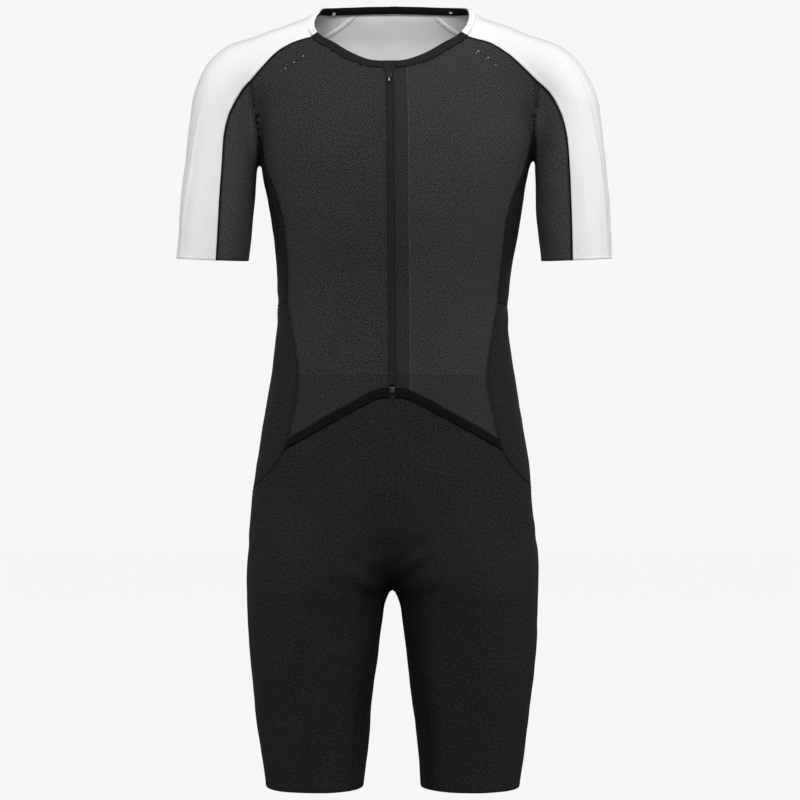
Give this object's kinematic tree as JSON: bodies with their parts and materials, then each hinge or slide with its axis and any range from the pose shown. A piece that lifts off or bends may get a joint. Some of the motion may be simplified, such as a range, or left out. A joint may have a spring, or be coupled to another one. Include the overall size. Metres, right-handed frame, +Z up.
{
  "type": "triathlon suit",
  "caption": "Short-sleeved one-piece race suit with raglan shoulders, ribbed mesh front, front zip and fitted shorts, filled out with no wearer.",
  "frame": {"origin": "in the middle of the neck, at the height of the side neck, where the shoulders of a wearer carry the suit", "axes": "+X towards the wearer's left, -Y the front with the zip, +Z up"},
  "size_m": [0.5368, 0.2323, 0.9719],
  "materials": {
    "white_knit": "smooth light stretch knit, matte",
    "mesh_knit": "fine ribbed dark mesh knit, matte",
    "smooth_knit": "smooth dark stretch knit, slight sheen",
    "shorts_jersey": "dense black stretch jersey, soft sheen",
    "black_tape": "bonded black stretch tape, satin",
    "zip_plastic": "black moulded coil",
    "zip_metal": "black enamelled metal, worn bright on its edges"
  },
  "bodies": {
    "suit": {"front_left": "mesh_knit", "front_right": "mesh_knit", "sleeve_top_left": "white_knit", "sleeve_top_right": "white_knit", "sleeve_under_left": "smooth_knit", "sleeve_under_right": "smooth_knit", "side_panel_left": "smooth_knit", "side_panel_right": "smooth_knit", "back_yoke": "white_knit", "back_body": "smooth_knit", "hip_side_left": "shorts_jersey", "hip_side_right": "shorts_jersey", "shorts_front": "shorts_jersey", "shorts_back": "shorts_jersey", "gusset": "shorts_jersey", "neck_binding_front_left": "black_tape", "neck_binding_front_right": "black_tape", "neck_binding_back": "white_knit", "neck_tape_back": "black_tape", "hem_band_left": "black_tape", "hem_band_right": "black_tape", "zip_tape_left": "black_tape", "zip_tape_right": "black_tape", "zip_guard": "black_tape", "zip_chain": "zip_plastic", "zip_slider": "zip_metal", "zip_stop": "zip_metal"},
    "pull": {"zip_pull": "zip_metal"}
  },
  "joints": [
    {"name": "pull_swing", "type": "hinge", "parent": "suit", "child": "pull", "pos_m": [0, -0.08037, -0.08499], "axis": [-1, 0, 0], "range_deg": [0, 150]}
  ]
}
